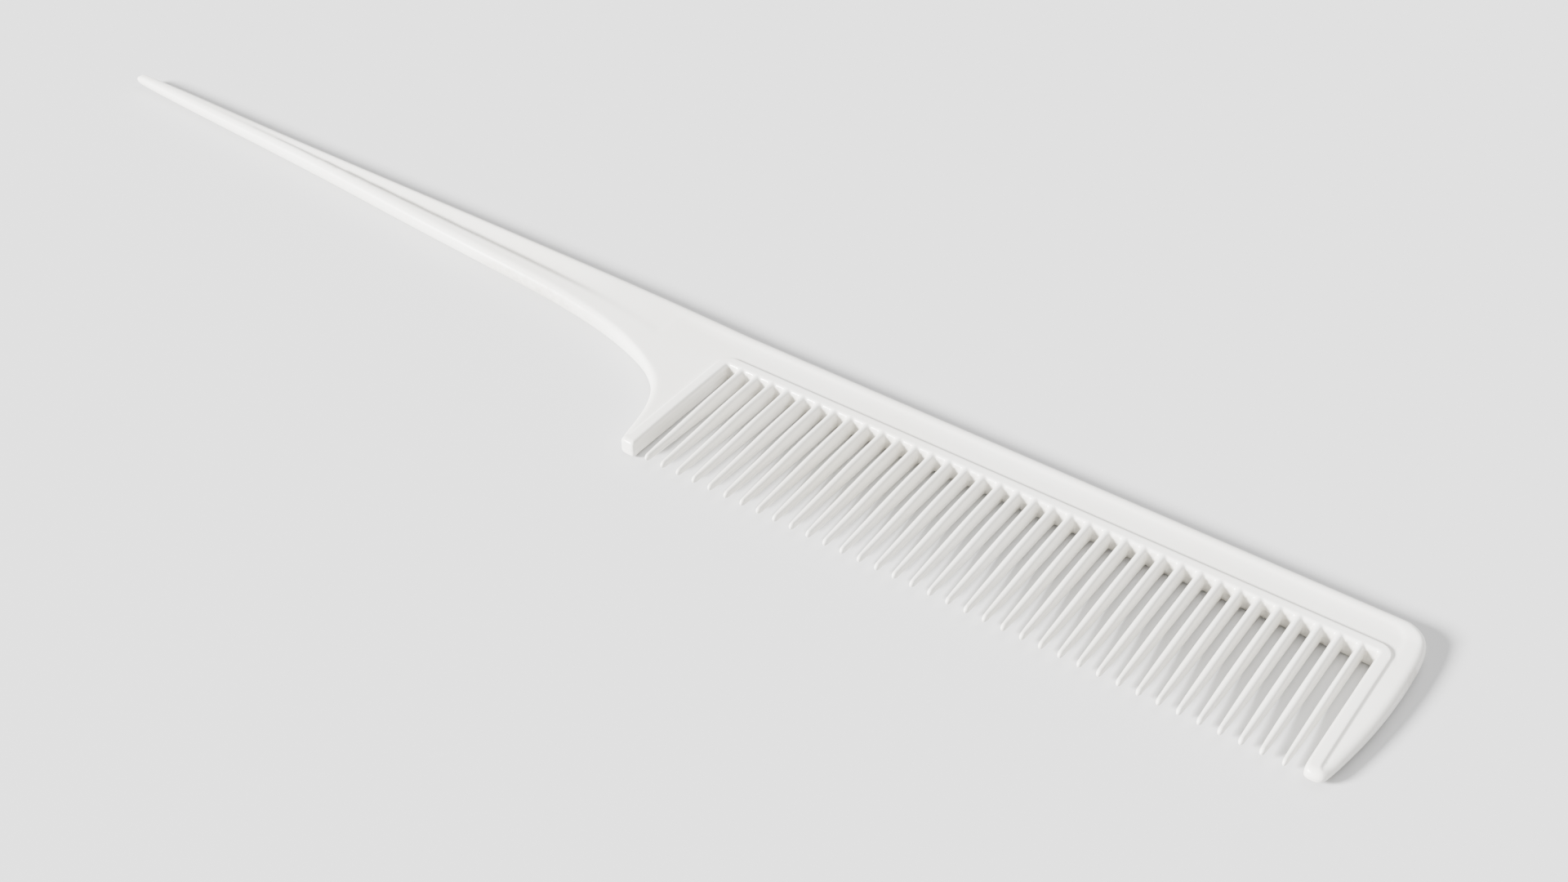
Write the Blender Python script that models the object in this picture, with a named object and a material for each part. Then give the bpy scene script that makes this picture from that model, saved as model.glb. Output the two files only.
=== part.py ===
"""Rat tail comb: one moulding, lying flat, built from named regions.

Plan distances are laid out in millimetres from the middle of the tooth row
(x, towards the end guard) and from the line of the tooth tips (y, towards the
back). Heights are measured from the parting plane at mid thickness. place()
moves all of it into the part's own frame: metres, origin at the bottom centre.
"""
import math

import bmesh
import bpy
from mathutils import Vector

MM = 0.001
GAP = 0.3                 # modelling gap between neighbouring regions

# whole comb
TIP_X = -177.85           # end of the tail
END_X = 52.15             # outer face of the end guard
TIP_Y = -0.45             # ends of the teeth and guards
TOP_Y = 29.1              # highest point of the tail's back edge
HALF_THICKNESS = 1.5

# teeth
TOOTH_COUNT = 36
PITCH = 2.58
ROOT_Y = 20.75            # front wall of the back, where the teeth start
TOOTH_SIDES = 10
LAST_TOOTH_SLIM = 0.87    # the tooth beside the end guard is a little thinner than the rest
LAST_TOOTH_SHIFT = 0.14   # and stands a little nearer the guard

# guards
GUARD_X = PITCH * (TOOTH_COUNT / 2 + 0.38)   # inner face of each guard
HORN_X = -58.5            # where the shoulder's front edge turns into the heel guard
HORN_Y = 15.2
GUARD_STEP = 0.24         # bead to plateau
GUARD_ROUND = 1.5         # length of the rounding at the ends of a guard
GUARD_BLUNT = 0.15        # how far inside that rounding the flat end is cut
GUARD_INNER_EDGE = (0.1, 0.3)   # rounding beside the teeth: share of the width, share of the height
GUARD_OUTER_EDGE = 0.35         # rounding of the outer side: share of the width
GUARD_BEAD = (0.3, 0.42)        # where the bead ends and the plateau starts: shares of the width

# back
BACK_Y = 28.25
BACK_EDGE = 1.2           # rounding of the outer edges
ROOT_EDGE = 0.35          # rounding of the wall that the teeth grow from
BEAD_WIDTH = 1.45         # raised border beside the teeth
STEP_WIDTH = 0.7
PANEL_HALF = 1.12         # half thickness of the recessed panel
RIM_HALF = 1.4
RIM_Y = 26.9
PANEL_BACK_Y = 26.0

# heel shoulder
SHOULDER_X = -80.0        # heel shoulder to tail grip
SHOULDER_EDGE = 1.1       # rounding of its front edge
SHOULDER_CUT_EDGE = 0.1   # the same where the guard continues it
SHOULDER_RIM = 1.5        # width of the slight slope at its back edge
SHOULDER_RIM_DROP = 0.1

# tail
PIN_X = -141.0            # tail grip to rounded tail end
CHANNEL_DEPTH = 0.9
TAIL_EDGE = 1.3           # widest rounding of the tail's edges
TAIL_EDGE_SHARE = 0.3     # the same as a share of the tail's width, where it is narrow
TAIL_RIM_DROP = 0.15      # how far the back rim lies below the front rib, as a share of the channel
CHANNEL_WALL = (0.35, 0.0)     # share of the tail's width, share of the channel's depth
CHANNEL_FLOOR = (0.47, 1.0)
CHANNEL_RISE = (0.6, 0.8)

ARC_STEPS = 3             # flat facets in each rounded edge

# outlines as (along, across) points, joined by a smooth curve
TAIL_FRONT = [(TIP_X, 27.7), (-174.0, 26.98), (-165.0, 26.4), (-155.0, 25.76), (-142.0, 25.07),
              (-129.0, 24.2), (-116.0, 23.05), (-103.0, 21.95), (-90.0, 21.1), (-77.0, 19.9),
              (-66.0, 17.85), (HORN_X, HORN_Y)]
TAIL_BACK = [(TIP_X, 28.6), (-172.0, TOP_Y), (-155.0, 28.8), (-142.0, 28.56), (-119.0, 28.7),
             (-96.0, 28.84), (-77.0, 28.8), (-55.0, 28.45), (-50.0, BACK_Y), (-GUARD_X, BACK_Y)]
TAIL_HALF = [(TIP_X, 0.4), (-176.0, 0.85), (-168.0, 1.12), (-155.0, 1.3), (-142.0, 1.44),
             (-129.0, HALF_THICKNESS), (-GUARD_X, HALF_THICKNESS)]
CHANNEL = [(-155.0, 0.0), (-141.0, 0.3), (-119.0, 0.85), (-100.0, 1.0), (-85.0, 0.9), (-70.0, 0.0)]
HORN_OUTER = [(HORN_Y, HORN_X), (13.0, -55.05), (11.4, -53.55), (9.75, -52.55), (7.9, -51.75),
              (5.4, -51.0), (1.9, -50.3), (0.4, -49.8), (TIP_Y, -48.9)]
HORN_INNER = [(HORN_Y, -GUARD_X), (1.0, -GUARD_X), (0.2, -47.65), (TIP_Y, -48.4)]
HORN_HALF = [(TIP_Y, 1.32), (2.0, 1.37), (6.0, 1.43), (11.0, HALF_THICKNESS), (HORN_Y, HALF_THICKNESS)]
END_OUTER = [(TIP_Y, 49.1), (0.2, 49.9), (2.0, 50.35), (6.4, 51.2), (13.0, 51.95), (19.5, END_X),
             (23.4, 51.9), (25.9, 51.15), (27.2, 50.0), (28.05, 48.3)]
END_INNER = [(TIP_Y, 48.3), (0.2, 47.65), (1.0, GUARD_X), (28.05, GUARD_X)]
END_HALF = [(TIP_Y, 0.95), (4.0, 1.2), (9.0, 1.33), (14.0, 1.44), (19.0, HALF_THICKNESS),
            (28.05, HALF_THICKNESS)]


def read_curve(points, along):
    """Value of the smooth curve through points, sorted either way by their first number."""
    points = sorted(points)
    if along <= points[0][0]:
        return points[0][1]
    for index in range(len(points) - 1):
        here, ahead = points[index], points[index + 1]
        if along > ahead[0]:
            continue
        before = points[max(index - 1, 0)]
        after = points[min(index + 2, len(points) - 1)]
        span = ahead[0] - here[0]
        slope_here = (ahead[1] - before[1]) / (ahead[0] - before[0]) * span
        slope_ahead = (after[1] - here[1]) / (after[0] - here[0]) * span
        t = (along - here[0]) / span
        return ((2 * t ** 3 - 3 * t ** 2 + 1) * here[1] + (t ** 3 - 2 * t ** 2 + t) * slope_here
                + (3 * t ** 2 - 2 * t ** 3) * ahead[1] + (t ** 3 - t ** 2) * slope_ahead)
    return points[-1][1]


def place(x, y, z):
    """From layout millimetres to the part's frame."""
    return Vector((x - (TIP_X + END_X) / 2, y - (TIP_Y + TOP_Y) / 2, z + HALF_THICKNESS)) * MM


def rounded_edge(start, width, half, drop, inwards):
    """Quarter arc from the side wall at start up to the top face."""
    points = []
    for step in range(ARC_STEPS + 1):
        angle = math.pi / 2 * step / ARC_STEPS
        across = start + inwards * width * (1 - math.cos(angle))
        points.append((across, half - drop + drop * math.sin(angle)))
    return points


def section(start, end, start_edge, end_edge, half, relief):
    """Closed section from start to end: each edge is (width, drop), relief is the top between them."""
    top = rounded_edge(start, start_edge[0], half, start_edge[1], 1)
    top += relief
    end_half = relief[-1][1] if relief else half
    top += rounded_edge(end, end_edge[0], end_half, min(end_edge[1], end_half), -1)[::-1]
    least = 0.02              # keeps the two sides of a full round apart
    top = [(across, max(height, least)) for across, height in top]
    return top + [(across, -height) for across, height in reversed(top)]


def loft_mesh(name, rings):
    """One closed mesh through rings of equal length, with flat ends."""
    mesh = bpy.data.meshes.new(name)
    bm = bmesh.new()
    rows = [[bm.verts.new(point) for point in ring] for ring in rings]
    count = len(rows[0])
    for row, following in zip(rows, rows[1:]):
        for index in range(count):
            after = (index + 1) % count
            bm.faces.new((row[index], row[after], following[after], following[index]))
    bm.faces.new(rows[0][::-1])
    bm.faces.new(rows[-1])
    bmesh.ops.recalc_face_normals(bm, faces=bm.faces)
    bm.to_mesh(mesh)
    bm.free()
    return mesh


def loft(name, rings, material):
    """The same as a finished piece."""
    return show(name, loft_mesh(name, rings), material)


def show(name, mesh, material):
    """Put a finished mesh into the scene."""
    mesh.shade_smooth()
    mesh.set_sharp_from_angle(angle=math.radians(35))
    if not mesh.materials:
        mesh.materials.append(material)
    piece = bpy.data.objects.new(name, mesh)
    bpy.context.collection.objects.link(piece)
    return piece


def comb_plastic():
    """The one plastic that the whole moulding is made of."""
    material = bpy.data.materials.new("comb_plastic")
    material.use_nodes = True
    shader = material.node_tree.nodes["Principled BSDF"]
    shader.inputs["Base Color"].default_value = (0.83, 0.82, 0.79, 1.0)
    shader.inputs["Roughness"].default_value = 0.38
    shader.inputs["Metallic"].default_value = 0.0
    return material


def back_spine(material):
    """Bar behind the teeth: bead, step down, recessed panel, raised rim."""
    bead_end = ROOT_Y + BEAD_WIDTH
    relief = [(bead_end, HALF_THICKNESS), (bead_end + STEP_WIDTH, PANEL_HALF),
              (PANEL_BACK_Y, PANEL_HALF), (RIM_Y, RIM_HALF)]
    outline = section(ROOT_Y, BACK_Y, (ROOT_EDGE, ROOT_EDGE), (BACK_EDGE, RIM_HALF), HALF_THICKNESS, relief)
    half_length = GUARD_X - GAP / 2
    rings = [[place(x, y, z) for y, z in outline] for x in (-half_length, half_length)]
    return loft("back_spine", rings, material)


def tail_ring(x):
    """Section across the tail at x, with the channel behind its front rib."""
    front = read_curve(TAIL_FRONT, x)
    back = read_curve(TAIL_BACK, x)
    half = min(read_curve(TAIL_HALF, x), HALF_THICKNESS)
    depth = CHANNEL_DEPTH * read_curve(CHANNEL, x)
    width = back - front
    edge = (min(TAIL_EDGE, TAIL_EDGE_SHARE * width), half)
    relief = [(front + across * width, half - share * depth)
              for across, share in (CHANNEL_WALL, CHANNEL_FLOOR, CHANNEL_RISE)]
    relief.append((back - edge[0], half - TAIL_RIM_DROP * depth))
    return [place(x, y, z) for y, z in section(front, back, edge, edge, half, relief)]


def tail(name, stations, material):
    """A stretch of the tail through the given stations."""
    return loft(name, [tail_ring(x) for x in stations], material)


def heel_shoulder(material):
    """Broad heel between the tail and the teeth, cut off where the guard starts."""
    rings = []
    for x in (SHOULDER_X, -74.0, -68.0, -63.0, HORN_X - GAP, HORN_X + GAP / 3, -54.0, -GUARD_X - GAP / 2):
        front = max(read_curve(TAIL_FRONT, x), HORN_Y) + (GAP if x > HORN_X else 0.0)
        back = read_curve(TAIL_BACK, x)
        front_edge = (SHOULDER_EDGE, HALF_THICKNESS) if x < HORN_X else (SHOULDER_CUT_EDGE, SHOULDER_CUT_EDGE)
        outline = section(front, back, front_edge, (TAIL_EDGE, HALF_THICKNESS), HALF_THICKNESS,
                          [(back - SHOULDER_RIM, HALF_THICKNESS - SHOULDER_RIM_DROP)])
        rings.append([place(x, y, z) for y, z in outline])
    return loft("heel_shoulder", rings, material)


def guard(name, stations, inner, outer, thickness, material):
    """Guard tooth through the given stations, with its bead along the inner face; it thins to its tip."""
    side = 1 if read_curve(inner, 0.0) > 0 else -1
    rings = []
    for y in stations:
        start = side * read_curve(inner, y)
        end = side * read_curve(outer, y)
        width = end - start
        from_end = min(y - TIP_Y, BACK_Y - y) + GUARD_BLUNT
        full = min(read_curve(thickness, y), HALF_THICKNESS)
        half = full * math.sqrt(1 - max(0.0, 1 - from_end / GUARD_ROUND) ** 2)
        plateau = half * (1 - GUARD_STEP / full)
        relief = [(start + GUARD_BEAD[0] * width, half), (start + GUARD_BEAD[1] * width, plateau)]
        inner_edge = (GUARD_INNER_EDGE[0] * width, GUARD_INNER_EDGE[1] * half)
        outline = section(start, end, inner_edge, (GUARD_OUTER_EDGE * width, plateau), half, relief)
        rings.append([place(side * x, y, z) for x, z in outline])
    return loft(name, rings, material)


def tooth_mesh(name, slim):
    """One tooth, tapering to a rounded tip; x is measured from its own centre line."""
    # distance from the tip line, half width, half thickness
    stations = [(ROOT_Y - GAP, 0.70, 1.42), (17.0, 0.63, 1.38), (12.9, 0.64, 1.27), (7.7, 0.61, 0.90),
                (2.6, 0.48, 0.65), (0.5, 0.38, 0.50), (-0.2, 0.24, 0.30), (TIP_Y, 0.08, 0.10)]
    turns = [2 * math.pi * (side + 0.5) / TOOTH_SIDES for side in range(TOOTH_SIDES)]
    rings = [[place(slim * half_width * math.cos(turn), y, half_thickness * math.sin(turn)) for turn in turns]
             for y, half_width, half_thickness in stations]
    return loft_mesh(name, rings)


def teeth(material):
    """The comb teeth, at one pitch from each other, sharing one mesh but for the last."""
    mesh = tooth_mesh("tooth", 1.0)
    last_mesh = tooth_mesh("last_tooth", LAST_TOOTH_SLIM)
    for index in range(TOOTH_COUNT):
        last = index == TOOTH_COUNT - 1
        tooth = show(f"tooth_{index + 1:02d}", last_mesh if last else mesh, material)
        centre = (index - (TOOTH_COUNT - 1) / 2) * PITCH + (LAST_TOOTH_SHIFT if last else 0.0)
        tooth.location.x = centre * MM


def main():
    for old in list(bpy.data.objects):
        bpy.data.objects.remove(old, do_unlink=True)
    plastic = comb_plastic()
    back_spine(plastic)
    tail("tail_end", (TIP_X, -177.3, -176.0, -172.0, -165.0, -155.0, PIN_X - GAP / 2), plastic)
    tail("tail_grip", (PIN_X + GAP / 2, -132.0, -125.0, -119.0, -110.0, -100.0, -90.0,
                       SHOULDER_X - GAP), plastic)
    heel_shoulder(plastic)
    guard("heel_guard", (TIP_Y, -0.2, 0.4, 1.4, 4.0, 7.0, 9.5, 11.5, 13.2, HORN_Y),
          HORN_INNER, HORN_OUTER, HORN_HALF, plastic)
    guard("end_guard", (TIP_Y, -0.2, 0.4, 1.4, 5.0, 9.0, 14.0, 19.5, 23.0, 25.2, 26.7, 27.6, 28.05),
          END_INNER, END_OUTER, END_HALF, plastic)
    teeth(plastic)


main()
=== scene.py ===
import math
import bpy
import numpy as np
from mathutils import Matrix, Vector
from mathutils.geometry import delaunay_2d_cdt


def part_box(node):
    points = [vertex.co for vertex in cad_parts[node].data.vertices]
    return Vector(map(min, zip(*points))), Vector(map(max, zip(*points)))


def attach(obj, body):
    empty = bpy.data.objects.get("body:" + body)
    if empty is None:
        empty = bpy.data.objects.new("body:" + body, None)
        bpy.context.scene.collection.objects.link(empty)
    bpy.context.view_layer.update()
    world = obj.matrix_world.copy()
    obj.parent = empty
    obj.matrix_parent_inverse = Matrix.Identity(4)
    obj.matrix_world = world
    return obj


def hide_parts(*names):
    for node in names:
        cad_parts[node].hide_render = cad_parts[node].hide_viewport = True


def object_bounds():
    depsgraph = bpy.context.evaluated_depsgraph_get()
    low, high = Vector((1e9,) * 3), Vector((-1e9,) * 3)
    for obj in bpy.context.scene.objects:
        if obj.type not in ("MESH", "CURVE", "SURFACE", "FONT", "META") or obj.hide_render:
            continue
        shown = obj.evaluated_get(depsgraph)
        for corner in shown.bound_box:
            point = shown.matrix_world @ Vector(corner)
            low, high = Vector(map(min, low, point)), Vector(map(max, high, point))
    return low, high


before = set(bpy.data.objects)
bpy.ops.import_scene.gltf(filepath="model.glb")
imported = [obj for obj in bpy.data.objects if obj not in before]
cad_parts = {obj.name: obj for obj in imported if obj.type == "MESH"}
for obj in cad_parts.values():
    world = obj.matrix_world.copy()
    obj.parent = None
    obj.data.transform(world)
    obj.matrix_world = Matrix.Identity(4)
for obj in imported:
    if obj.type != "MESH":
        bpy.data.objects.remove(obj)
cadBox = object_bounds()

mm = 0.001

# where things are, all from the frame; the last tooth stands off the pitch, so the one before it is read
toothCount = 36
plainTeeth = toothCount - 1
firstTooth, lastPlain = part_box("tooth_01"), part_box("tooth_35")
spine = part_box("back_spine")
firstX = (firstTooth[0].x + firstTooth[1].x) / 2
pitch = ((lastPlain[0].x + lastPlain[1].x) / 2 - firstX) / (plainTeeth - 1)
rowMiddle = firstX + pitch * (toothCount - 1) / 2
tipReach = 0.45                                    # how far the teeth pass the zero line of the layout, mm
tipLine = firstTooth[0].y + tipReach * mm
halfThick = (cadBox[1][2] - cadBox[0][2]) / 2


def softened(points, rounds=4):
    # cuts the corners of an open line of points until it is a smooth curve
    points = np.array(points, float)
    for _ in range(rounds):
        before, after = points[:-1], points[1:]
        cut = np.empty((2 * len(before), points.shape[1]))
        cut[0::2] = 0.75 * before + 0.25 * after
        cut[1::2] = 0.25 * before + 0.75 * after
        points = np.vstack([points[:1], cut, points[-1:]])
    return points


def readAt(points, along):
    # value of the smooth curve through (along, value) points
    curve = softened(points)
    return np.interp(along, curve[:, 0], curve[:, 1])


def smoothStep(value, start, end):
    t = np.clip((value - start) / (end - start), 0, 1)
    return t * t * (3 - 2 * t)


# how the flat plans of the comb are divided, in millimetres and radians
meshSizes = {
    # steps along the outlines, and how sharp turns shorten them
    "fineStep": 0.12, "heelStep": 0.5, "endStep": 0.4,
    "turnPerStep": 0.22, "turnWindow": 0.4, "noTurn": 1e-6,
    # the even grid inside; the height of its rows is a share of its spacing
    "heelGrid": 0.42, "endGrid": 0.36, "rowHeight": 0.8,
    # least room around a point beside the wall, and around one of the grid as a share of its spacing
    "wallRoom": 0.07, "gridRoom": 0.55,
    # depths of the rows behind the wall that faces the teeth, and how far past them the grid starts
    "beadRows": (0.8, 1.15), "stepRows": 6, "flatRow": 2.4, "wallClear": 0.2,
    # how near the wall's line a point of the outline is part of it; where the wall and its rows begin
    "facingX": 0.6, "facingY": 0.1, "wallFrom": -0.3, "rowsFrom": 0.3,
    # rows across the back
    "beadEnd": 0.3, "afterStep": (0.35, 0.9), "panelRows": 4, "beforeRim": 0.4, "rimRows": 5,
    # height of the row on the upright side, as a share of that side
    "sideRow": 0.8,
    # points nearer than this are one
    "same": 1e-7,
}


def respaced(points, coarse):
    # even steps along the outline, finer where it turns sharply
    m = meshSizes
    step = np.linalg.norm(np.diff(points[:, :2], axis=0), axis=1)
    points = points[np.concatenate([[True], step > m["same"]])]
    run = np.diff(points[:, :2], axis=0)
    step = np.linalg.norm(run, axis=1)
    heading = np.unwrap(np.arctan2(run[:, 1], run[:, 0]))
    turn = np.zeros(len(step))
    turn[1:] = np.abs(np.diff(heading)) / step[1:]
    reach = np.cumsum(step)
    sharpest = np.array([turn[np.abs(reach - here) < m["turnWindow"]].max() for here in reach])
    spacing = np.clip(m["turnPerStep"] / (sharpest + m["noTurn"]), m["fineStep"], coarse)
    effort = np.concatenate([[0], np.cumsum(step / spacing)])
    wanted = np.linspace(0, effort[-1], int(round(effort[-1])) + 1)
    return np.stack([np.interp(wanted, effort, column) for column in points.T], 1)


# the whole comb, in millimetres from the zero line of the tooth tips and the middle of the row
combSizes = {
    "rootY": (spine[0].y - tipLine) / mm,                      # wall that the teeth grow from
    "backY": (spine[1].y - tipLine) / mm,
    "guardX": (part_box("end_guard")[0].x - rowMiddle) / mm,     # inner face of both guards
    "tailX": (cadBox[0][0] - rowMiddle) / mm,
    "endX": (cadBox[1][0] - rowMiddle) / mm,
    "pitch": pitch / mm,
    "half": halfThick / mm,
    "rootEdge": 0.45, "rootDrop": 0.34,      # rounding of that wall, and its share of the height
    "backEdge": 1.2, "backDrop": 0.93,       # the same for the outer edges
    "cornerFillet": 0.7,                     # where a guard meets the back
    "arcSteps": 7,
    "beadWidth": 1.45, "stepWidth": 0.54,
    "rimStart": 26.0, "rimEnd": 26.9,
}

# edges of the tail and thickness, each a smooth curve: (along the comb, value)
tailFront = [(combSizes["tailX"], 27.7), (-174.0, 26.98), (-165.0, 26.4), (-155.0, 25.76), (-142.0, 25.07),
             (-129.0, 24.2), (-116.0, 23.05), (-103.0, 21.95), (-90.0, 21.1), (-77.0, 19.97), (-66.0, 17.8),
             (-58.5, 15.2)]
tailBack = [(combSizes["tailX"], 28.6), (-172.0, 29.05), (-155.0, 28.8), (-142.0, 28.56), (-119.0, 28.7),
            (-96.0, 28.84), (-77.0, 28.8), (-55.0, 28.45), (-50.0, 28.25), (-47.0, 28.25)]
tailHalf = [(-178.0, 0.5), (-176.5, 0.85), (-168.0, 1.1), (-155.0, 1.28), (-142.0, 1.43), (-127.0, 1.5),
            (-110.0, 1.5), (60.0, 1.5)]
channelFade = [(-200.0, 0.0), (-158.0, 0.0), (-141.0, 0.35), (-119.0, 0.9), (-100.0, 1.0), (-84.0, 0.95),
               (-76.0, 0.35), (-69.0, 0.0), (60.0, 0.0)]
# half thickness of the guards: (from the tips, value)
endHalf = [(-0.5, 0.92), (1.0, 1.02), (4.0, 1.2), (9.0, 1.34), (14.0, 1.45), (18.0, 1.5), (30.0, 1.5)]
heelHalf = [(-0.5, 1.3), (2.0, 1.36), (6.0, 1.43), (11.0, 1.5), (30.0, 1.5)]


# where the relief of the back and the tail lies and how it fades out, in millimetres from the same lines
reliefSizes = {
    "tailUpTo": -60.0,
    "panelCorner": (46.6, 23.4), "panelRound": (2.6, 2.95), "panelPower": 2.4, "panelEdge": (0.84, 1.14),
    "panelHeel": (-66.0, -49.0),
    # the tail's groove, as shares of the tail's width, and how much of it is gone at the back
    "grooveFront": (0.34, 0.5), "grooveBack": (0.5, 0.95), "grooveRise": 0.88,
    "rimShare": 0.65, "rimFade": 24.6,
    "stepEndTip": (-0.3, 1.8), "stepHeelX": (-64.0, -50.0), "stepHeelY": (3.0, 17.0), "stepHeelLow": 0.2,
    "shelterStart": 16.5, "shelterEnd": (21.0, 21.6), "shelterRise": (0.55, 0.98),
}


def thickness(x, y):
    guard = np.where(x > 0, readAt(endHalf, y), readAt(heelHalf, y))
    return np.where(x < reliefSizes["tailUpTo"], readAt(tailHalf, x), guard)


def panelShare(x, y):
    # 1 in the sunk panel of the back, 0 outside it; round where it ends by the guard
    r = reliefSizes
    u = np.clip((x - r["panelCorner"][0]) / r["panelRound"][0], 0, None)
    v = np.clip((y - r["panelCorner"][1]) / r["panelRound"][1], 0, None)
    reach = (u ** r["panelPower"] + v ** r["panelPower"]) ** (1 / r["panelPower"])
    return (1 - smoothStep(reach, *r["panelEdge"])) * smoothStep(x, *r["panelHeel"])


def channelShare(x, y):
    # the groove behind the tail's front rib: steep at the front, gentle at the back
    r = reliefSizes
    front, back = readAt(tailFront, x), readAt(tailBack, x)
    across = (y - front) / (back - front)
    risen = 1 - r["grooveRise"] * smoothStep(across, *r["grooveBack"])
    return smoothStep(across, *r["grooveFront"]) * risen * readAt(channelFade, x) * (x < r["tailUpTo"])


def rimShare(y):
    # how much of the step is left towards the back rim
    return 1 - reliefSizes["rimShare"] * smoothStep(y, reliefSizes["rimFade"], combSizes["rimEnd"])


def stepShare(x, y):
    # how much of the full step there is behind the bead: less at the back rim, none at tips and heel
    r = reliefSizes
    upHeel = r["stepHeelLow"] + (1 - r["stepHeelLow"]) * smoothStep(y, *r["stepHeelY"])
    heelSide = smoothStep(x, *r["stepHeelX"]) * upHeel
    return rimShare(y) * np.where(x > 0, smoothStep(y, *r["stepEndTip"]), heelSide)


def rootDustAndShadeShare(y, rise):
    # the corners between the teeth, where painted shade darkens the tooth roots, with some dust
    r = reliefSizes
    low = 1 - smoothStep(rise, *r["shelterRise"])
    upTooth = smoothStep(y, r["shelterStart"], combSizes["rootY"])
    return upTooth * (1 - smoothStep(y, *r["shelterEnd"])) * low


def distanceTo(flat, line):
    # how far each point is from the nearest stretch of a line
    best = np.full(len(flat), np.inf)
    for begin, along in zip(line[:-1], np.diff(line, axis=0)):
        t = np.clip((flat - begin) @ along / (along @ along), 0, 1)
        best = np.minimum(best, np.linalg.norm(flat - begin - t[:, None] * along, axis=1))
    return best


def roundingRings(drop):
    # (share of the way in, share of the height) for each ring of a rounded edge
    rings = [(0.0, 0.0), (0.0, meshSizes["sideRow"] * (1 - drop))]
    for step in range(combSizes["arcSteps"] + 1):
        angle = math.pi / 2 * step / combSizes["arcSteps"]
        rings.append((1 - math.cos(angle), 1 - drop + drop * math.sin(angle)))
    return rings


def backRows():
    # distances across the back, from the wall's rounding to the outer rounding
    s, m = combSizes, meshSizes
    bead = s["rootY"] + s["beadWidth"]
    rows = [s["rootY"] + s["rootEdge"], s["rootY"] + m["beadRows"][0], bead - m["beadEnd"]]
    rows += [bead + s["stepWidth"] * k / m["stepRows"] for k in range(m["stepRows"] + 1)]
    rows += [bead + s["stepWidth"] + m["afterStep"][0]]
    panelStart = bead + s["stepWidth"] + m["afterStep"][1]
    rows += list(np.linspace(panelStart, s["rimStart"] - m["beforeRim"], m["panelRows"]))
    rows += list(np.linspace(s["rimStart"], s["rimEnd"], m["rimRows"]))
    return rows + [s["backY"] - s["backEdge"]]


def ringQuads(start, columns, rings):
    # faces between neighbouring columns of points that were listed ring by ring
    quads = []
    for column in range(columns - 1):
        for ring in range(rings - 1):
            a = start + column * rings + ring
            quads.append((a, a + rings, a + rings + 1, a + 1))
    return quads


def planSheet(name, flat, rise, half, fromTeeth, shares, faces):
    # a flat mesh in the parting plane, with the values that the moulding rule reads
    x, y = flat[:, 0], flat[:, 1]
    mesh = bpy.data.meshes.new(name)
    points = np.zeros((len(flat), 3))
    points[:, 0] = x * mm + rowMiddle
    points[:, 1] = y * mm + tipLine
    mesh.from_pydata(points.tolist(), [], faces)
    values = {"rise": rise, "half": half * mm, "fromTeeth": fromTeeth * mm,
              "rootDustAndShade": rootDustAndShadeShare(y, rise), **shares}
    for key, column in values.items():
        mesh.attributes.new(key, "FLOAT", "POINT").data.foreach_set("value", np.array(column, float))
    sheet = bpy.data.objects.new(name, mesh)
    bpy.context.scene.collection.objects.link(sheet)
    return sheet


# one tooth with its slice of the back; (from the tips, value) for half width and half thickness
toothSizes = {
    "width": [(-0.5, 0.30), (0.3, 0.385), (2.6, 0.48), (7.7, 0.61), (12.9, 0.645), (17.0, 0.63),
              (21.0, 0.70)],
    "half": [(-0.5, 0.50), (0.3, 0.56), (2.6, 0.66), (7.7, 0.91), (12.9, 1.27), (17.0, 1.39),
             (21.4, 1.5)],
    "tipLength": 0.75, "tipY": -0.44, "tipSteps": 5, "sideSteps": 11,
    "fillet": 0.42, "filletSteps": 6, "drop": 0.93,
    "lastSlim": 0.87, "lastShift": 0.14,
}


def toothOutline(slim, shift):
    # rows of (outline x, y, inner x, inner y, drop, half) down one side, from the tip to the cell's edge
    s, c = toothSizes, combSizes
    centre = s["tipY"] + s["tipLength"]
    shoulder = c["rootY"] - s["fillet"]
    inner = c["rootY"] + c["rootEdge"]
    rows = []
    for k in range(s["tipSteps"] + 1):
        angle = math.pi / 2 * k / s["tipSteps"]
        width = slim * readAt(s["width"], centre) * math.sin(angle)
        low = centre - s["tipLength"] * math.cos(angle)
        rows.append((shift + width, low, shift, centre, s["drop"]))
    for y in np.linspace(centre, shoulder, s["sideSteps"] + 1)[1:-1]:
        rows.append((shift + slim * readAt(s["width"], y), y, shift, y, s["drop"]))
    end = shift + slim * readAt(s["width"], shoulder) + s["fillet"]
    for k in range(s["filletSteps"] + 1):
        share = k / s["filletSteps"]
        angle = math.pi / 2 * share
        upward, sideways = min(2 * share, 1), max(2 * share - 1, 0)
        drop = s["drop"] + (c["rootDrop"] - s["drop"]) * smoothStep(share, 0, 1)
        rows.append((end - s["fillet"] * math.cos(angle), shoulder + s["fillet"] * math.sin(angle),
                     shift + (end - shift) * sideways, shoulder + (inner - shoulder) * upward, drop))
    rows.append((c["pitch"] / 2, c["rootY"], c["pitch"] / 2, inner, c["rootDrop"]))
    rows = np.array(rows)
    half = readAt(s["half"], rows[:, 3])
    # the back is at full thickness where the tooth joins it
    half[rows[:, 3] > inner - meshSizes["same"]] = c["half"]
    return np.column_stack([rows, half])


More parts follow.
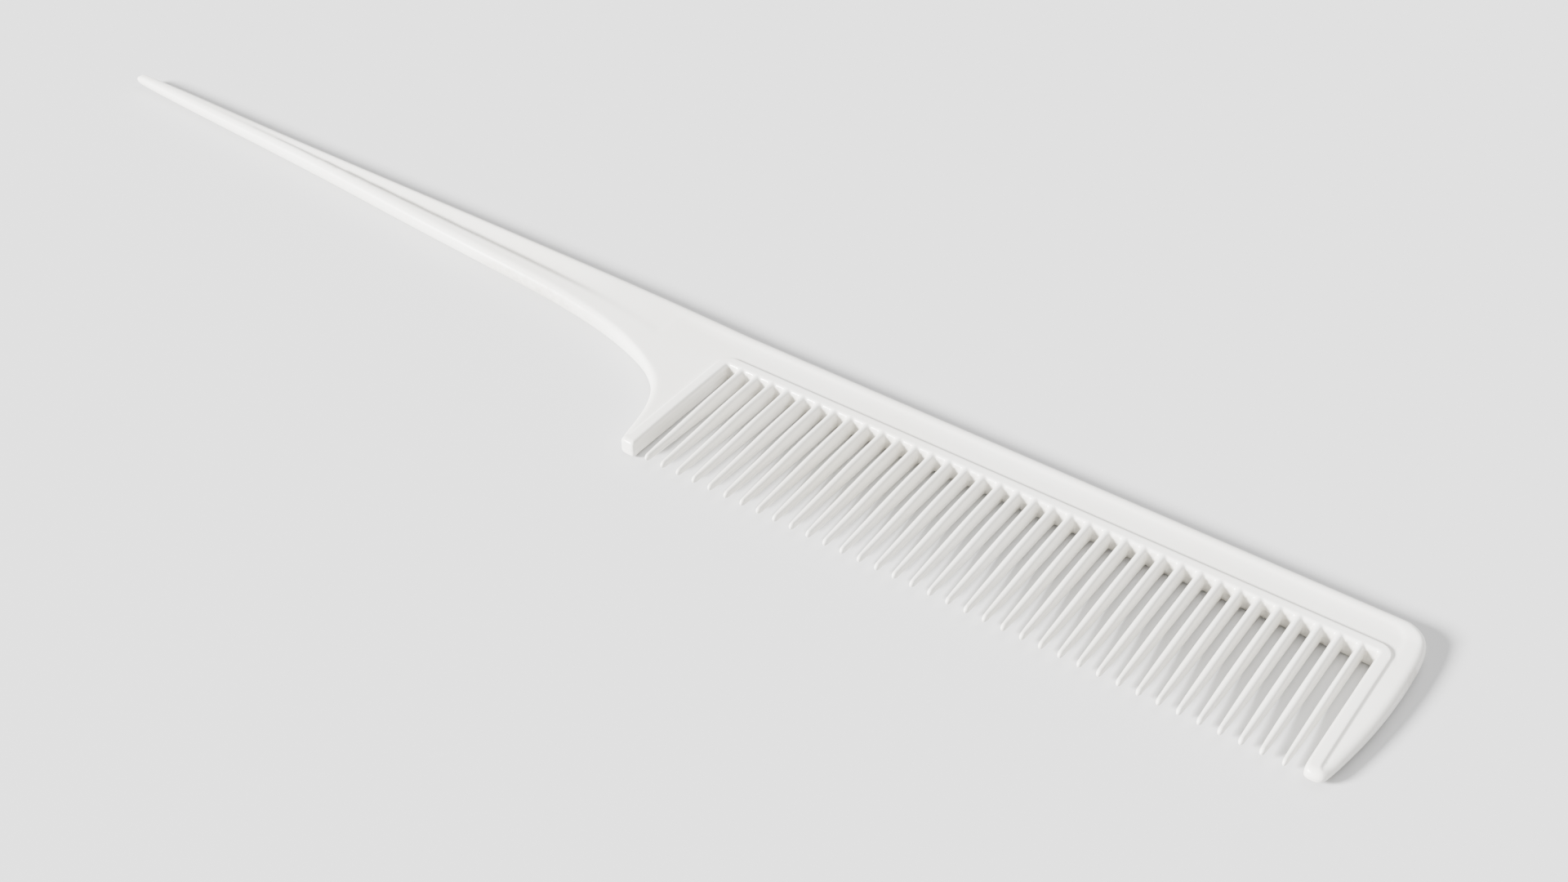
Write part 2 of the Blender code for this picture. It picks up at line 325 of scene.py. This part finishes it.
def toothCell(name, slim, shift):
    # the flat plan of one tooth with its slice of the back, right half first, then left
    c = combSizes
    inner = c["rootY"] + c["rootEdge"]
    flat, rise, half, faces = [], [], [], []
    for side in (1, -1):
        outline = toothOutline(slim, side * shift)
        quads = []
        # the tooth and its fillet: rings from the outline in to the middle
        start = len(flat)
        for x, y, innerX, innerY, drop, thick in outline:
            for share, height in roundingRings(drop):
                flat.append((side * (x + (innerX - x) * share), y + (innerY - y) * share))
                rise.append(height)
                half.append(thick)
        quads += ringQuads(start, len(outline), c["arcSteps"] + 3)
        # the slice of the back behind it
        columns = [row[2] for row in outline if row[3] > inner - meshSizes["same"]]
        rows = [(y, 1.0) for y in backRows()]
        for share, height in reversed(roundingRings(c["backDrop"])[:-1]):
            rows.append((c["backY"] - c["backEdge"] * share, height))
        start = len(flat)
        for x in columns:
            for y, height in rows:
                flat.append((side * x, y))
                rise.append(height)
                half.append(c["half"])
        quads += ringQuads(start, len(columns), len(rows))
        faces += [quad if side > 0 else quad[::-1] for quad in quads]
    flat, rise = np.array(flat), np.array(rise)
    x, y = flat[:, 0], flat[:, 1]
    shares = {"step": rimShare(y), "panel": panelShare(x, y), "channel": np.zeros(len(flat))}
    return planSheet(name, flat, rise, np.array(half), np.clip(y - c["rootY"], 0, None), shares, faces)


def insideLoop(loop, spots):
    # True for each spot inside the closed loop
    x, y = spots[:, 0], spots[:, 1]
    inside = np.zeros(len(spots), bool)
    for (ax, ay), (bx, by) in zip(loop, np.roll(loop, -1, axis=0)):
        if ay != by:
            inside ^= ((ay > y) != (by > y)) & (x < (bx - ax) * (y - ay) / (by - ay) + ax)
    return inside


def besideWall(wall):
    # points beside the wall, at the distances where the bead and its step change height
    s, m = combSizes, meshSizes
    inward = wall[:, 2:4] / np.linalg.norm(wall[:, 2:4], axis=1)[:, None]
    start = wall[:, :2].copy()
    straight = wall[:, 1] < s["rootY"] - s["cornerFillet"]
    inward[straight] = (np.sign(wall[0, 0]), 0)
    start[straight, 0] = inward[straight, 0] * s["guardX"]
    stepDepths = [s["beadWidth"] + s["stepWidth"] * k / m["stepRows"] for k in range(m["stepRows"] + 1)]
    depths = [*m["beadRows"], *stepDepths, m["flatRow"]]
    return np.vstack([start + inward * depth for depth in depths]), m["flatRow"] + m["wallClear"]


def fillPoints(loop, wall, spacing):
    # rows that follow the wall, then an even grid past them, wherever there is still room
    low, high = loop.min(0), loop.max(0)
    stepY = meshSizes["rowHeight"] * spacing
    gridX, gridY = np.meshgrid(np.arange(low[0], high[0], spacing), np.arange(low[1], high[1], stepY))
    gridX[1::2] += spacing / 2
    grid = np.stack([gridX.ravel(), gridY.ravel()], 1)
    wallRows, reach = besideWall(wall)
    grid = grid[(distanceTo(grid, wall[:, :2]) > reach) | (grid[:, 1] < wall[:, 1].min())]
    kept = np.empty((0, 2))
    for batch, room in ((wallRows, meshSizes["wallRoom"]), (grid, meshSizes["gridRoom"] * spacing)):
        batch = batch[insideLoop(loop, batch)]
        batch = batch[distanceTo(batch, np.vstack([loop, loop[:1]])) > room]
        if len(kept):
            batch = batch[[np.min(np.abs(kept - spot).max(1)) > room for spot in batch]]
        kept = np.vstack([kept, batch])
    return kept


def endSheet(name, outline, spacing):
    # outline rows are (x, y, way in x, way in y, drop); the innermost ring and the joint bound the top
    c, m = combSizes, meshSizes
    rings = c["arcSteps"] + 3
    points, rise = [], []
    for x, y, inX, inY, drop in outline:
        for share, height in roundingRings(drop):
            points.append((x + inX * share, y + inY * share))
            rise.append(height)
    faces = ringQuads(0, len(outline), rings)
    border = [column * rings + rings - 1 for column in range(len(outline))]
    between = backRows()[1:-1]
    for y in between[::-1] if outline[0, 1] < outline[-1, 1] else between:
        border.append(len(points))
        points.append((outline[0, 0], y))
        rise.append(1.0)
    loop = np.array([points[i] for i in border])
    # the stretch of outline that faces the teeth
    facing = np.abs(outline[:, 0]) <= c["guardX"] + m["facingX"]
    facing &= (outline[:, 1] < c["rootY"] + m["facingY"]) & (outline[:, 1] > m["wallFrom"])
    wall = outline[facing]
    inside = fillPoints(loop, wall[wall[:, 1] > m["rowsFrom"]], spacing)
    spots = [Vector(spot) for spot in np.vstack([loop, inside])]
    made = delaunay_2d_cdt(spots, [], [list(range(len(loop)))], 1, m["same"])
    index = {}
    for new, originals in enumerate(made[3]):
        if originals and originals[0] < len(loop):
            index[new] = border[originals[0]]
        else:
            index[new] = len(points)
            points.append(tuple(made[0][new]))
            rise.append(1.0)
    faces += [tuple(index[corner] for corner in face) for face in made[2]]
    flat, rise = np.array(points), np.array(rise)
    x, y = flat[:, 0], flat[:, 1]
    shares = {"step": stepShare(x, y), "panel": panelShare(x, y), "channel": channelShare(x, y)}
    print(name, len(outline), "along the outline,", len(flat), "points")
    return planSheet(name, flat, rise, thickness(x, y), distanceTo(flat, wall[:, :2]), shares, faces)


def heelSheet():
    # from the back, round the tail and the heel, to the wall behind the teeth: rows as endSheet takes them
    c = combSizes
    joint, guard, fillet = -c["pitch"] * toothCount / 2, -c["guardX"], c["cornerFillet"]
    back = (0, -c["backEdge"], c["backDrop"])
    line = [(joint, c["backY"]) + back, (-49.0, c["backY"]) + back, (-54.0, 28.4) + back]
    for x in (-66, -77, -90, -103, -116, -129, -142, -155, -165, -172):
        y = readAt(tailBack, x)
        line.append((x, y, 0, -min(1.3, 0.44 * (y - readAt(tailFront, x))), 0.94))
    line += [(-176.9, 28.98, 0.15, -0.6, 0.94), (c["tailX"], 28.75, 0.6, -0.45, 0.94),
             (c["tailX"], 28.0, 0.75, 0.05, 0.94), (c["tailX"], 27.4, 0.6, 0.5, 0.94),
             (-175.6, 27.15, 0.1, 0.7, 0.94)]
    for x in (-172, -165, -155, -142, -129, -116, -103, -90):
        y = readAt(tailFront, x)
        line.append((x, y, 0, min(1.35, 0.44 * (readAt(tailBack, x) - y)), 0.94))
    inner = (-0.5, 0, 0.55)
    line += [(-77.0, 20.0, -0.15, 1.3, 0.9), (-66.0, 18.05, -0.4, 1.15, 0.9), (-58.5, 15.4, -0.6, 1.05, 0.9),
             (-55.1, 12.95, 0.75, 0.95, 0.9), (-53.55, 11.35, 0.95, 0.7, 0.9), (-52.6, 9.75, 1.1, 0.45, 0.9),
             (-51.75, 7.9, 1.15, 0.3, 0.9), (-51.0, 5.4, 1.15, 0.25, 0.9), (-50.4, 2.4, 1.05, 0.3, 0.85),
             (-49.95, 0.85, 0.85, 0.45, 0.6), (-49.6, -0.1, 0.55, 0.6, 0.45), (-48.5, -0.2, 0.0, 0.65, 0.42),
             (-47.45, -0.2, -0.4, 0.6, 0.42), (guard, 0.55, -0.55, 0.25, 0.45), (guard, 1.6) + inner,
             (guard, 10.0) + inner, (guard, c["rootY"] - fillet) + inner,
             (guard, c["rootY"], -0.45, 0.45, 0.45),
             (guard + fillet, c["rootY"], 0, c["rootEdge"], c["rootDrop"]),
             (joint, c["rootY"], 0, c["rootEdge"], c["rootDrop"])]
    return endSheet("heelPlan", respaced(softened(line), meshSizes["heelStep"]), meshSizes["heelGrid"])


def guardSheet():
    # from the wall behind the teeth, round the end guard, to the back
    c = combSizes
    joint, guard, fillet = c["pitch"] * toothCount / 2, c["guardX"], c["cornerFillet"]
    inner = (0.5, 0, 0.55)
    back = (0, -c["backEdge"], c["backDrop"])
    line = [(joint, c["rootY"], 0, c["rootEdge"], c["rootDrop"]),
            (guard - fillet, c["rootY"], 0, c["rootEdge"], c["rootDrop"]),
            (guard, c["rootY"], 0.45, 0.45, 0.45), (guard, c["rootY"] - fillet) + inner,
            (guard, 10.0) + inner, (guard, 2.2) + inner, (guard, 0.15, 0.5, 0.5, 0.75),
            (47.9, -0.45, 0.35, 0.95, 0.94),
            (49.3, -0.45, -0.15, 1.0, 0.94), (50.05, 0.15, -0.7, 0.7, 0.94), (50.5, 2.0, -1.05, 0.2, 0.9),
            (50.9, 4.2, -1.15, 0.1, 0.9), (51.4, 7.2, -1.2, 0.1, 0.9), (51.9, 11.5, -1.2, 0.05, 0.9),
            (c["endX"], 16.0, -1.2, 0, 0.9), (c["endX"] + 0.02, 20.0, -1.2, 0, 0.9),
            (52.0, 24.2, -1.2, -0.2, 0.93), (51.1, 26.9, -0.9, -0.8, 0.93),
            (48.9, c["backY"], -0.3, -1.2, 0.93), (47.4, c["backY"]) + back, (joint, c["backY"]) + back]
    return endSheet("endPlan", respaced(softened(line), meshSizes["endStep"]), meshSizes["endGrid"])


# what the moulding rule uses
mouldSizes = {
    "Tooth count": toothCount, "Pitch": pitch, "Bead width": combSizes["beadWidth"] * mm,
    "Step width": combSizes["stepWidth"] * mm, "Step depth": 0.28 * mm, "Panel depth": 0.14 * mm,
    "Channel depth": 0.9 * mm, "Base height": halfThick, "Weld distance": 0.003 * mm,
}


def mouldTree():
    tree = bpy.data.node_groups.new("combMoulding", "GeometryNodeTree")
    face = tree.interface
    face.new_socket("Geometry", in_out="INPUT", socket_type="NodeSocketGeometry")
    for name in ("Tooth cell", "Last tooth cell"):
        face.new_socket(name, in_out="INPUT", socket_type="NodeSocketObject")
    face.new_socket("Plastic", in_out="INPUT", socket_type="NodeSocketMaterial")
    for name, value in mouldSizes.items():
        kind = "NodeSocketInt" if name == "Tooth count" else "NodeSocketFloat"
        face.new_socket(name, in_out="INPUT", socket_type=kind).default_value = value
    face.new_socket("Geometry", in_out="OUTPUT", socket_type="NodeSocketGeometry")
    nodes, links = tree.nodes, tree.links

    def node(kind, **settings):
        made = nodes.new(kind)
        for key, value in settings.items():
            setattr(made, key, value)
        return made

    def feed(socket, value):
        if hasattr(value, "is_output"):
            links.new(value, socket)
        else:
            socket.default_value = value

    def worked(operation, a, b):
        made = node("ShaderNodeMath", operation=operation)
        feed(made.inputs[0], a)
        feed(made.inputs[1], b)
        return made.outputs[0]

    def named(name):
        made = node("GeometryNodeInputNamedAttribute", data_type="FLOAT")
        made.inputs["Name"].default_value = name
        return made.outputs["Attribute"]

    def stored(geometry, name, value):
        made = node("GeometryNodeStoreNamedAttribute", data_type="FLOAT", domain="POINT")
        made.inputs["Name"].default_value = name
        feed(made.inputs["Geometry"], geometry)
        feed(made.inputs["Value"], value)
        return made.outputs[0]

    def along(axis, length):
        made = node("ShaderNodeCombineXYZ")
        feed(made.inputs[axis], length)
        return made.outputs[0]

    given = node("NodeGroupInput").outputs
    lastIndex = worked("SUBTRACT", given["Tooth count"], 1.0)

    # the row: one cell per tooth, centred on the middle of the row; the last tooth has a cell of its own
    row = node("GeometryNodeMeshLine", mode="OFFSET")
    feed(row.inputs["Count"], given["Tooth count"])
    feed(row.inputs["Offset"], along("X", given["Pitch"]))
    rowLength = worked("MULTIPLY", lastIndex, given["Pitch"])
    feed(row.inputs["Start Location"], along("X", worked("MULTIPLY", rowLength, -0.5)))
    joined = node("GeometryNodeJoinGeometry")
    for name, test in (("Tooth cell", "LESS_THAN"), ("Last tooth cell", "GREATER_EQUAL")):
        which = node("FunctionNodeCompare", data_type="FLOAT", operation=test)
        feed(which.inputs["A"], node("GeometryNodeInputIndex").outputs[0])
        feed(which.inputs["B"], worked("SUBTRACT", lastIndex, 0.5))
        cell = node("GeometryNodeObjectInfo")
        feed(cell.inputs["Object"], given[name])
        placed = node("GeometryNodeInstanceOnPoints")
        feed(placed.inputs["Points"], row.outputs[0])
        feed(placed.inputs["Selection"], which.outputs[0])
        feed(placed.inputs["Instance"], cell.outputs["Geometry"])
        real = node("GeometryNodeRealizeInstances")
        feed(real.inputs[0], placed.outputs[0])
        links.new(real.outputs[0], joined.inputs[0])
    links.new(given["Geometry"], joined.inputs[0])

    # height = rise * (half thickness - step - panel - channel)
    stepMap = node("ShaderNodeMapRange", interpolation_type="SMOOTHSTEP")
    feed(stepMap.inputs["Value"], named("fromTeeth"))
    feed(stepMap.inputs["From Min"], given["Bead width"])
    feed(stepMap.inputs["From Max"], worked("ADD", given["Bead width"], given["Step width"]))
    pastBead = stepMap.outputs["Result"]
    step = worked("MULTIPLY", worked("MULTIPLY", pastBead, named("step")), given["Step depth"])
    panel = worked("MULTIPLY", worked("MULTIPLY", pastBead, named("panel")), given["Panel depth"])
    channel = worked("MULTIPLY", named("channel"), given["Channel depth"])
    cut = worked("ADD", worked("ADD", step, panel), channel)
    height = worked("MULTIPLY", named("rise"), worked("SUBTRACT", named("half"), cut))
    raised = node("GeometryNodeSetPosition")
    feed(raised.inputs["Geometry"], joined.outputs[0])
    feed(raised.inputs["Offset"], along("Z", height))
    # how deep a point lies below the surface around it, kept for the finish, which darkens the recesses with
    # painted shade and dust
    kept = stored(raised.outputs[0], "recess", worked("DIVIDE", cut, given["Base height"]))

    # the underside mirrors the top; the two and all the cells are welded into one skin
    under = node("GeometryNodeTransform")
    feed(under.inputs["Geometry"], kept)
    under.inputs["Scale"].default_value = (1, 1, -1)
    turned = node("GeometryNodeFlipFaces")
    feed(turned.inputs["Mesh"], under.outputs[0])
    both = node("GeometryNodeJoinGeometry")
    links.new(kept, both.inputs[0])
    links.new(turned.outputs[0], both.inputs[0])
    weld = node("GeometryNodeMergeByDistance")
    feed(weld.inputs["Geometry"], both.outputs[0])
    feed(weld.inputs["Distance"], given["Weld distance"])
    laid = node("GeometryNodeSetPosition")
    feed(laid.inputs["Geometry"], weld.outputs[0])
    feed(laid.inputs["Offset"], along("Z", given["Base height"]))
    smooth = node("GeometryNodeSetShadeSmooth")
    feed(smooth.inputs[0], laid.outputs[0])
    final = node("GeometryNodeRealizeInstances")
    feed(final.inputs[0], smooth.outputs[0])
    coat = node("GeometryNodeSetMaterial")
    feed(coat.inputs["Geometry"], final.outputs[0])
    feed(coat.inputs["Material"], given["Plastic"])
    links.new(coat.outputs[0], node("NodeGroupOutput").inputs[0])
    return tree


def buildComb(material):
    # both end sheets carry the modifier together; the cells come in as objects
    sheets = [heelSheet(), guardSheet()]
    with bpy.context.temp_override(active_object=sheets[0], selected_editable_objects=sheets):
        bpy.ops.object.join()
    ends = sheets[0]
    cells = {
        "Tooth cell": toothCell("toothCell", 1.0, 0.0),
        "Last tooth cell": toothCell("lastToothCell", toothSizes["lastSlim"], toothSizes["lastShift"]),
    }
    tree = mouldTree()
    modifier = ends.modifiers.new("moulding", "NODES")
    modifier.node_group = tree
    values = {"Plastic": material, **cells, **mouldSizes}
    for item in tree.interface.items_tree:
        if item.in_out == "INPUT" and item.name in values:
            modifier[item.identifier] = values[item.name]
    ready = ends.evaluated_get(bpy.context.evaluated_depsgraph_get())
    mesh = bpy.data.meshes.new_from_object(ready)
    mesh.name = "combMoulding"
    made = bpy.data.objects.new("combMoulding", mesh)
    bpy.context.scene.collection.objects.link(made)
    for helper in (ends, *cells.values()):
        bpy.data.objects.remove(helper, do_unlink=True)
    return made


def mottleGroup():
    # soft uneven patches at a given size, centred on zero: handled plastic and painted board both have them
    group = bpy.data.node_groups.new("softMottle", "ShaderNodeTree")
    for name, kind in (("Vector", "NodeSocketVector"), ("Per metre", "NodeSocketFloat"),
                       ("Detail", "NodeSocketFloat"), ("Strength", "NodeSocketFloat")):
        group.interface.new_socket(name, in_out="INPUT", socket_type=kind)
    group.interface.new_socket("Mask", in_out="OUTPUT", socket_type="NodeSocketFloat")
    nodes, links = group.nodes, group.links
    given = nodes.new("NodeGroupInput").outputs
    noise = nodes.new("ShaderNodeTexNoise")
    links.new(given["Vector"], noise.inputs["Vector"])
    links.new(given["Per metre"], noise.inputs["Scale"])
    links.new(given["Detail"], noise.inputs["Detail"])
    noise.inputs["Roughness"].default_value = 0.55
    centred = nodes.new("ShaderNodeMath")
    centred.operation = "SUBTRACT"
    links.new(noise.outputs["Fac"], centred.inputs[0])
    centred.inputs[1].default_value = 0.5
    scaled = nodes.new("ShaderNodeMath")
    scaled.operation = "MULTIPLY"
    links.new(centred.outputs[0], scaled.inputs[0])
    links.new(given["Strength"], scaled.inputs[1])
    links.new(scaled.outputs[0], nodes.new("NodeGroupOutput").inputs["Mask"])
    return group


plasticLook = {
    # the third colour is the dark of painted shade mixed with dust, laid in the tooth corners and the
    # recesses
    "body": (0.83, 0.82, 0.79, 1), "aged": (0.76, 0.73, 0.65, 1), "dustAndShade": (0.42, 0.39, 0.33, 1),
    # a patch is (how many to the metre, detail, strength); a share is what its values are centred on
    "agedPatch": (38, 2.0, 1.1), "agedShare": 0.35,
    "speckPatch": (900, 3.0, 1.6), "speckShare": 0.62,
    # the corner and recess darkening set here is painted shade with some dust in it
    "cornerDustAndShade": 0.6, "lowDustAndShade": 0.16, "lowFade": (0.05, 0.5), "dustRoughness": 0.25,
    "scratchPerMetre": (90, 2600, 2600), "scratchDetail": 2.0, "scratchFade": (0.66, 0.78),
    "scratchPatch": (60, 1.0, 2.0), "scratchPatchFade": (-0.1, 0.4),
    "scratchRoughness": 0.18, "scratchDepth": 0.004 * mm,
    "roughness": 0.33, "roughPatch": (240, 4.0, 0.22), "polish": 0.12,
    "edgeFrom": (0.6, 0.92), "edgeTo": (0.94, 1.0),
    "ripplePatch": (420, 1.0, 0.010 * mm), "grainPatch": (5200, 2.0, 0.004 * mm),
    "partingHalfWidth": 0.05 * mm, "partingHeight": 0.03 * mm,
    "refraction": 1.5,
}


class Shading:
    # short ways to add nodes to one material
    def __init__(self, name, mottle):
        self.material = bpy.data.materials.new(name)
        self.material.use_nodes = True
        self.nodes = self.material.node_tree.nodes
        self.links = self.material.node_tree.links
        self.shader = self.nodes["Principled BSDF"]
        self.mottleTree = mottle
        self.place = self.nodes.new("ShaderNodeTexCoord").outputs["Object"]

    def feed(self, socket, value):
        if hasattr(value, "is_output"):
            self.links.new(value, socket)
        else:
            socket.default_value = value

    def node(self, kind, inputs, **settings):
        made = self.nodes.new(kind)
        for key, value in settings.items():
            setattr(made, key, value)
        for key, value in inputs.items():
            self.feed(made.inputs[key], value)
        return made

    def worked(self, operation, a, b, clamp=False):
        return self.node("ShaderNodeMath", {0: a, 1: b}, operation=operation, use_clamp=clamp).outputs[0]

    def mottle(self, perMetre, detail, strength):
        made = self.nodes.new("ShaderNodeGroup")
        made.node_tree = self.mottleTree
        self.links.new(self.place, made.inputs["Vector"])
        for key, value in (("Per metre", perMetre), ("Detail", detail), ("Strength", strength)):
            made.inputs[key].default_value = value
        return made.outputs["Mask"]

    def attribute(self, name):
        return self.node("ShaderNodeAttribute", {}, attribute_name=name).outputs["Fac"]

    def ramp(self, value, start, end, low=0.0, high=1.0):
        inputs = {"Value": value, "From Min": start, "From Max": end, "To Min": low, "To Max": high}
        return self.node("ShaderNodeMapRange", inputs, interpolation_type="SMOOTHSTEP").outputs["Result"]

    def mix(self, share, a, b):
        # sockets 0, 6 and 7 are the factor and the two colours
        made = self.node("ShaderNodeMix", {}, data_type="RGBA")
        for index, value in ((0, share), (6, a), (7, b)):
            self.feed(made.inputs[index], value)
        return made.outputs[2]


def combPlastic(mottle):
    look = plasticLook
    s = Shading("combPlastic", mottle)
    recess, rootDustAndShade, rise = s.attribute("recess"), s.attribute("rootDustAndShade"), s.attribute("rise")

    # colour: slightly uneven, aged a little, and darker in the corners between the teeth and in the
    # recesses: painted shade, broken up with specks of dust
    aged = s.worked("ADD", s.mottle(*look["agedPatch"]), look["agedShare"], True)
    uneven = s.mix(aged, look["body"], look["aged"])
    speck = s.worked("ADD", s.mottle(*look["speckPatch"]), look["speckShare"], True)
    # painted shade: the tooth corners and the recesses go darker, speckled like dust
    corner = s.worked("MULTIPLY", s.worked("MULTIPLY", rootDustAndShade, look["cornerDustAndShade"]), speck)
    lowSpeck = s.worked("MULTIPLY", speck, look["lowDustAndShade"])
    low = s.worked("MULTIPLY", s.ramp(recess, *look["lowFade"]), lowSpeck)
    dustAndShade = s.worked("ADD", corner, low, True)
    s.feed(s.shader.inputs["Base Color"], s.mix(dustAndShade, uneven, look["dustAndShade"]))

    # hairline scratches along the comb, from drawers and hands
    drawn = s.node("ShaderNodeMapping", {"Vector": s.place, "Scale": look["scratchPerMetre"]})
    inputs = {"Vector": drawn.outputs[0], "Scale": 1.0, "Detail": look["scratchDetail"]}
    strands = s.ramp(s.node("ShaderNodeTexNoise", inputs).outputs["Fac"], *look["scratchFade"])
    scratched = s.ramp(s.mottle(*look["scratchPatch"]), *look["scratchPatchFade"])
    scratch = s.worked("MULTIPLY", strands, scratched)

    # roughness: uneven, polished on the proud edges, dull under the dust (that mask also carries painted
    # shade)
    edge = s.worked("MULTIPLY", s.ramp(rise, *look["edgeFrom"]), s.ramp(rise, *look["edgeTo"], 1.0, 0.0))
    rough = s.worked("ADD", s.mottle(*look["roughPatch"]), look["roughness"])
    rough = s.worked("SUBTRACT", rough, s.worked("MULTIPLY", edge, look["polish"]))
    rough = s.worked("ADD", rough, s.worked("MULTIPLY", dustAndShade, look["dustRoughness"]))
    rough = s.worked("ADD", rough, s.worked("MULTIPLY", scratch, look["scratchRoughness"]), True)
    s.feed(s.shader.inputs["Roughness"], rough)

    # bump in metres: mould ripple, fine grain, scratches and the thin line where the mould halves met
    height = s.worked("ADD", s.mottle(*look["ripplePatch"]), s.mottle(*look["grainPatch"]))
    height = s.worked("SUBTRACT", height, s.worked("MULTIPLY", scratch, look["scratchDepth"]))
    level = s.node("ShaderNodeSeparateXYZ", {0: s.place}).outputs["Z"]
    off = s.worked("ABSOLUTE", s.worked("SUBTRACT", level, halfThick), 0.0)
    parting = s.ramp(off, 0.0, look["partingHalfWidth"], look["partingHeight"], 0.0)
    height = s.worked("ADD", height, parting)
    bump = s.node("ShaderNodeBump", {"Height": height, "Distance": 1.0, "Strength": 1.0})
    s.feed(s.shader.inputs["Normal"], bump.outputs[0])
    s.shader.inputs["IOR"].default_value = look["refraction"]
    return s.material


boardLook = {
    "pale": (0.58, 0.58, 0.58, 1), "dark": (0.56, 0.56, 0.56, 1), "patch": (14, 3.0, 0.15), "share": 0.5,
    "roughness": 0.85, "roughPatch": (160, 2.0, 0.1),
}


def boardPaint(mottle):
    look = boardLook
    s = Shading("studioBoard", mottle)
    shade = s.worked("ADD", s.mottle(*look["patch"]), look["share"], True)
    s.feed(s.shader.inputs["Base Color"], s.mix(shade, look["pale"], look["dark"]))
    rough = s.worked("ADD", s.mottle(*look["roughPatch"]), look["roughness"], True)
    s.feed(s.shader.inputs["Roughness"], rough)
    return s.material


studioSizes = {
    # the camera stands this far from the middle of the row, and looks this way in degrees
    "eye": (85.36 * mm, -152.0 * mm, 168.66 * mm), "azimuth": 125.51, "elevation": -39.74,
    "lens": 45.62, "clipStart": 0.01,
    "floorReach": 30.0, "floorGap": 0.02 * mm, "world": 0.7,
    # even studio light: where it comes from, how wide it spreads in degrees, strength
    "keyLight": ((-0.55, -0.78, 0.46), 14.0, 22.0),
    "topLight": ((0.15, 0.55, 1.10), 60.0, 3.0),
}


def buildStudio(paint):
    s = studioSizes
    reach, under = s["floorReach"], -s["floorGap"]
    floorMesh = bpy.data.meshes.new("studioFloor")
    corners = [(-reach, -reach, under), (reach, -reach, under), (reach, reach, under),
               (-reach, reach, under)]
    floorMesh.from_pydata(corners, [], [(0, 1, 2, 3)])
    floorMesh.materials.append(paint)
    floor = bpy.data.objects.new("studioFloor", floorMesh)
    bpy.context.scene.collection.objects.link(floor)

    camera = bpy.data.objects.new("camera", bpy.data.cameras.new("camera"))
    camera.data.lens = s["lens"]
    camera.data.clip_start = s["clipStart"]
    camera.location = Vector((rowMiddle, tipLine, halfThick)) + Vector(s["eye"])
    bearing, rise = math.radians(s["azimuth"]), math.radians(s["elevation"])
    level = math.cos(rise)
    looking = Vector((math.cos(bearing) * level, math.sin(bearing) * level, math.sin(rise)))
    camera.rotation_euler = looking.to_track_quat("-Z", "Y").to_euler()
    bpy.context.scene.collection.objects.link(camera)
    bpy.context.scene.camera = camera

    world = bpy.data.worlds.new("studioWorld")
    world.use_nodes = True
    background = world.node_tree.nodes["Background"]
    background.inputs["Color"].default_value = (1, 1, 1, 1)
    background.inputs["Strength"].default_value = s["world"]
    bpy.context.scene.world = world
    for name in ("keyLight", "topLight"):
        origin, spread, strength = s[name]
        light = bpy.data.lights.new(name, "SUN")
        light.angle = math.radians(spread)
        light.energy = strength
        lamp = bpy.data.objects.new(name, light)
        lamp.location = origin
        lamp.rotation_euler = (-Vector(origin)).to_track_quat("-Z", "Y").to_euler()
        bpy.context.scene.collection.objects.link(lamp)


softMottle = mottleGroup()
comb = buildComb(combPlastic(softMottle))
print("comb", len(comb.data.vertices), "points", len(comb.data.polygons), "faces")
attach(comb, "root")
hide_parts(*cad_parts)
buildStudio(boardPaint(softMottle))
print("studio ready")
